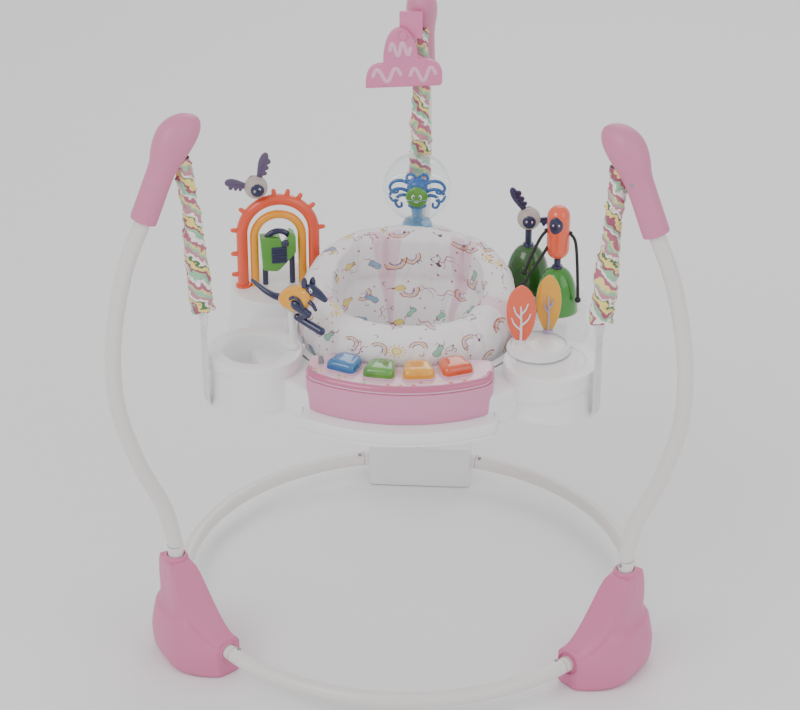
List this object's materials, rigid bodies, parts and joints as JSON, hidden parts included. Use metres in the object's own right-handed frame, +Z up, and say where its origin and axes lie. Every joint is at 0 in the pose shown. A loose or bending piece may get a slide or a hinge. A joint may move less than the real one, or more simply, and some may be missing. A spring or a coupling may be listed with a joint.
{
  "type": "free-standing baby jumper",
  "caption": "Bouncer seat: a toy tray with a swivelling cloth bucket seat, hung on sprung straps from curved uprights that stand on a floor ring.",
  "frame": {"origin": "on the floor, under the middle of the whole object's box", "axes": "+Z up, -Y towards the front of the tray where the keys are, +X to the right seen from the front"},
  "size_m": [0.8846, 0.8954, 0.9355],
  "materials": {
    "tube_enamel": "satin",
    "foot_pink": "satin",
    "cap_pink": "satin",
    "housing_white": "satin",
    "spring_steel": "satin",
    "sleeve_cloth": "matte",
    "webbing": "matte",
    "cloud_pink": "gloss",
    "tray_white": "gloss",
    "base_white": "satin",
    "piano_pink": "satin",
    "piano_trim": "gloss",
    "switch_grey": "satin",
    "key_blue": "gloss",
    "key_green": "gloss",
    "key_orange": "gloss",
    "key_red": "gloss",
    "seat_cloth": "matte",
    "arch_red": "gloss",
    "arch_orange": "gloss",
    "navy": "gloss",
    "clicker_green": "gloss",
    "ball_grey": "gloss",
    "hill_green": "gloss",
    "hill_dark_green": "gloss",
    "bean_orange": "gloss",
    "limb_black": "matte",
    "stand_blue": "gloss",
    "globe_clear": "gloss",
    "octopus_blue": "gloss",
    "leaf_orange": "gloss",
    "leaf_yellow": "gloss",
    "kangaroo_orange": "gloss"
  },
  "bodies": {
    "frame": {"foot_left": "foot_pink", "upright_left": "tube_enamel", "cap_left": "cap_pink", "spring_left": "spring_steel", "sleeve_left": "sleeve_cloth", "foot_right": "foot_pink", "upright_right": "tube_enamel", "cap_right": "cap_pink", "spring_right": "spring_steel", "sleeve_right": "sleeve_cloth", "foot_rear": "housing_white", "upright_rear": "tube_enamel", "cap_rear": "cap_pink", "spring_rear": "spring_steel", "sleeve_rear": "sleeve_cloth", "ring_tube_front": "tube_enamel", "ring_tube_right": "tube_enamel", "ring_tube_left": "tube_enamel", "cloud_bracket": "housing_white"},
    "cloud": {"cloud_panel": "cloud_pink"},
    "tray": {"hanger_left": "webbing", "hanger_right": "webbing", "hanger_rear": "webbing", "tray_shell": "tray_white", "tray_base": "base_white", "piano_case": "piano_pink", "piano_deck": "piano_pink", "piano_bead": "piano_trim", "arch_outer": "arch_red", "arch_middle": "arch_orange", "arch_inner": "navy", "clicker_frame": "clicker_green", "hill_back": "hill_dark_green", "hill_front": "hill_green", "globe_stand": "stand_blue", "octopus": "octopus_blue", "kangaroo_stalk": "navy"},
    "seat": {"seat_ring": "tray_white", "seat_fabric": "seat_cloth"},
    "key_blue_body": {"key_blue": "key_blue"},
    "key_green_body": {"key_green": "key_green"},
    "key_orange_body": {"key_orange": "key_orange"},
    "key_red_body": {"key_red": "key_red"},
    "switch": {"volume_switch": "switch_grey"},
    "roller": {"clicker_roller": "navy"},
    "arch_ball": {"arch_bird": "ball_grey"},
    "hill_ball": {"hill_bird": "ball_grey"},
    "figure": {"bean": "bean_orange", "bean_arm_right": "limb_black", "bean_arm_left": "limb_black", "bean_leg_left": "limb_black"},
    "ball": {"globe": "globe_clear"},
    "spinner": {"spinner_dome": "tray_white", "leaf_orange": "leaf_orange", "leaf_yellow": "leaf_yellow"},
    "hopper": {"kangaroo": "kangaroo_orange"}
  },
  "joints": [
    {"name": "tray_bounce", "type": "slide", "parent": "frame", "child": "tray", "axis": [0, 0, 1], "range_m": [-0.12, 0.03], "stiffness_N_per_m": 1300, "springref_m": 0.0203, "deforming": ["spring_left", "spring_right", "spring_rear", "sleeve_left", "sleeve_right", "sleeve_rear"]},
    {"name": "seat_swivel", "type": "hinge", "parent": "tray", "child": "seat", "pos_m": [0, -0.06082, 0.489], "axis": [0, 0, 1], "continuous": true},
    {"name": "blue_press", "type": "slide", "parent": "tray", "child": "key_blue_body", "axis": [0, 0, -1], "range_m": [0, 0.0035], "stiffness_N_per_m": 300, "springref_m": -0.002},
    {"name": "green_press", "type": "slide", "parent": "tray", "child": "key_green_body", "axis": [0, 0, -1], "range_m": [0, 0.0035], "stiffness_N_per_m": 300, "springref_m": -0.002},
    {"name": "orange_press", "type": "slide", "parent": "tray", "child": "key_orange_body", "axis": [0, 0, -1], "range_m": [0, 0.0035], "stiffness_N_per_m": 300, "springref_m": -0.002},
    {"name": "red_press", "type": "slide", "parent": "tray", "child": "key_red_body", "axis": [0, 0, -1], "range_m": [0, 0.0035], "stiffness_N_per_m": 300, "springref_m": -0.002},
    {"name": "volume_slide", "type": "slide", "parent": "tray", "child": "switch", "axis": [1, 0, 0], "range_m": [-0.005, 0.005]},
    {"name": "roller_turn", "type": "hinge", "parent": "tray", "child": "roller", "pos_m": [-0.217, 0.04518, 0.578], "axis": [0.9744, 0.225, 0], "continuous": true},
    {"name": "arch_ball_turn", "type": "hinge", "parent": "tray", "child": "arch_ball", "pos_m": [-0.24949, 0.03768, 0.69602], "axis": [-0.365, -0.0843, 0.9272], "continuous": true},
    {"name": "hill_ball_turn", "type": "hinge", "parent": "tray", "child": "hill_ball", "pos_m": [0.188, 0.08318, 0.632], "axis": [0, 0, 1], "continuous": true},
    {"name": "figure_turn", "type": "hinge", "parent": "tray", "child": "figure", "pos_m": [0.236, 0.01118, 0.64], "axis": [0, 0, 1], "range_deg": [-35, 35]},
    {"name": "ball_spin", "type": "hinge", "parent": "tray", "child": "ball", "pos_m": [0, 0.20118, 0.63], "axis": [0, 0, 1], "continuous": true},
    {"name": "spinner_turn", "type": "hinge", "parent": "tray", "child": "spinner", "pos_m": [0.21, -0.15882, 0.528], "axis": [0, 0, 1], "continuous": true},
    {"name": "hopper_turn", "type": "hinge", "parent": "tray", "child": "hopper", "pos_m": [-0.17079, -0.18556, 0.615], "axis": [0, 0, 1], "range_deg": [-50, 0]},
    {"name": "cloud_swing", "type": "hinge", "parent": "frame", "child": "cloud", "pos_m": [-0.027, 0.26418, 0.876], "axis": [0, 1, 0], "range_deg": [-30, 30]}
  ]
}
